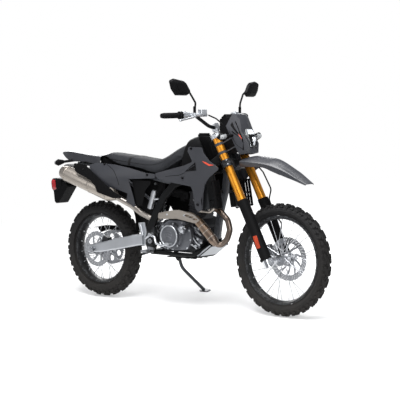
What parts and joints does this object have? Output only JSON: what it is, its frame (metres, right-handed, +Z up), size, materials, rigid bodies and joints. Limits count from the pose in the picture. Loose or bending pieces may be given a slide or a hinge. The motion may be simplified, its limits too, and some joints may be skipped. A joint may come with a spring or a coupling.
{
  "type": "dual sport motorcycle",
  "caption": "Road-legal off-road motorcycle with long forks, high mudguard, slim bench seat and high silencer, parked leaning on its side stand with steering, wheels and stand that move.",
  "frame": {"origin": "on the ground under the middle of the parked machine", "axes": "+X forward along the wheels, +Z up, +Y to the rider's left; the machine leans 10 degrees to the left onto its stand"},
  "size_m": [2.3008, 0.9018, 1.4974],
  "materials": {
    "black_plastic": "textured black plastic",
    "steel": "brushed steel",
    "cast_alloy": "painted engine casting",
    "bright_alloy": "brushed bright alloy",
    "grey_frame": "satin dark grey paint",
    "header_steel": "heat tinted stainless",
    "chrome_steel": "hard chrome",
    "gold_anodised": "gold anodised",
    "black_frame": "satin black paint",
    "grey_plastic": "moulded dark grey plastic",
    "black_rubber": "ribbed rubber",
    "black_rim": "black anodised",
    "smoke_lens": "smoked amber",
    "tyre_rubber": "moulded rubber",
    "clear_lens": "clear",
    "radiator_core": "finned dark alloy",
    "seat_cover": "grained vinyl",
    "red_lens": "transparent red"
  },
  "bodies": {
    "root": {"air_box": "black_plastic", "chain": "steel", "chain_guard": "black_plastic", "clutch_cover": "cast_alloy", "cylinder_head": "cast_alloy", "down_tube": "grey_frame", "engine_cases": "cast_alloy", "exhaust_header": "header_steel", "exhaust_shield": "bright_alloy", "foot_levers": "bright_alloy", "foot_pegs": "steel", "frame": "black_frame", "fuel_tank": "black_plastic", "generator_cover": "cast_alloy", "intake": "black_rubber", "muffler": "steel", "muffler_guard": "black_plastic", "plate_holder": "black_plastic", "radiator_louvres": "black_plastic", "radiators": "radiator_core", "rear_caliper": "cast_alloy", "rear_signals": "smoke_lens", "seat": "seat_cover", "shock": "steel", "shrouds": "grey_plastic", "side_inserts": "black_plastic", "side_panels": "grey_plastic", "skid_plate": "bright_alloy", "spindles": "steel", "subframe": "grey_frame", "swingarm": "bright_alloy", "tail": "grey_plastic", "tail_lamp": "red_lens"},
    "steering": {"controls": "bright_alloy", "fork_guards": "black_plastic", "fork_lowers": "chrome_steel", "fork_tubes": "gold_anodised", "front_axle": "steel", "front_caliper": "cast_alloy", "front_fender": "grey_plastic", "front_hose": "black_rubber", "front_signals": "smoke_lens", "grips": "black_rubber", "handlebar": "black_frame", "headlamp": "clear_lens", "headlamp_mask": "grey_plastic", "instrument": "black_plastic", "low_clamp": "black_frame", "mirrors": "black_plastic", "top_clamp": "bright_alloy"},
    "front_wheel": {"front_disc": "steel", "front_hub": "steel", "front_rim": "black_rim", "front_tyre": "tyre_rubber"},
    "rear_wheel": {"rear_disc": "steel", "rear_hub": "steel", "rear_rim": "black_rim", "rear_sprocket": "steel", "rear_tyre": "tyre_rubber"},
    "stand": {"side_stand": "grey_frame"}
  },
  "joints": [
    {"name": "steering_turn", "type": "hinge", "parent": "root", "child": "steering", "pos_m": [0.43646, -0.07778, 0.90309], "axis": [-0.4617, 0.154, 0.8735], "range_deg": [-45, 45]},
    {"name": "front_wheel_spin", "type": "hinge", "parent": "steering", "child": "front_wheel", "pos_m": [0.80483, -0.17682, 0.34141], "axis": [0, 0.9848, -0.1736], "continuous": true},
    {"name": "rear_wheel_spin", "type": "hinge", "parent": "root", "child": "rear_wheel", "pos_m": [-0.68517, -0.18042, 0.321], "axis": [0, 0.9848, -0.1736], "continuous": true},
    {"name": "stand_fold", "type": "hinge", "parent": "root", "child": "stand", "pos_m": [-0.13017, -0.05754, 0.25775], "axis": [-0.1631, 0.9848, 0.0602], "range_deg": [0, 96]}
  ]
}
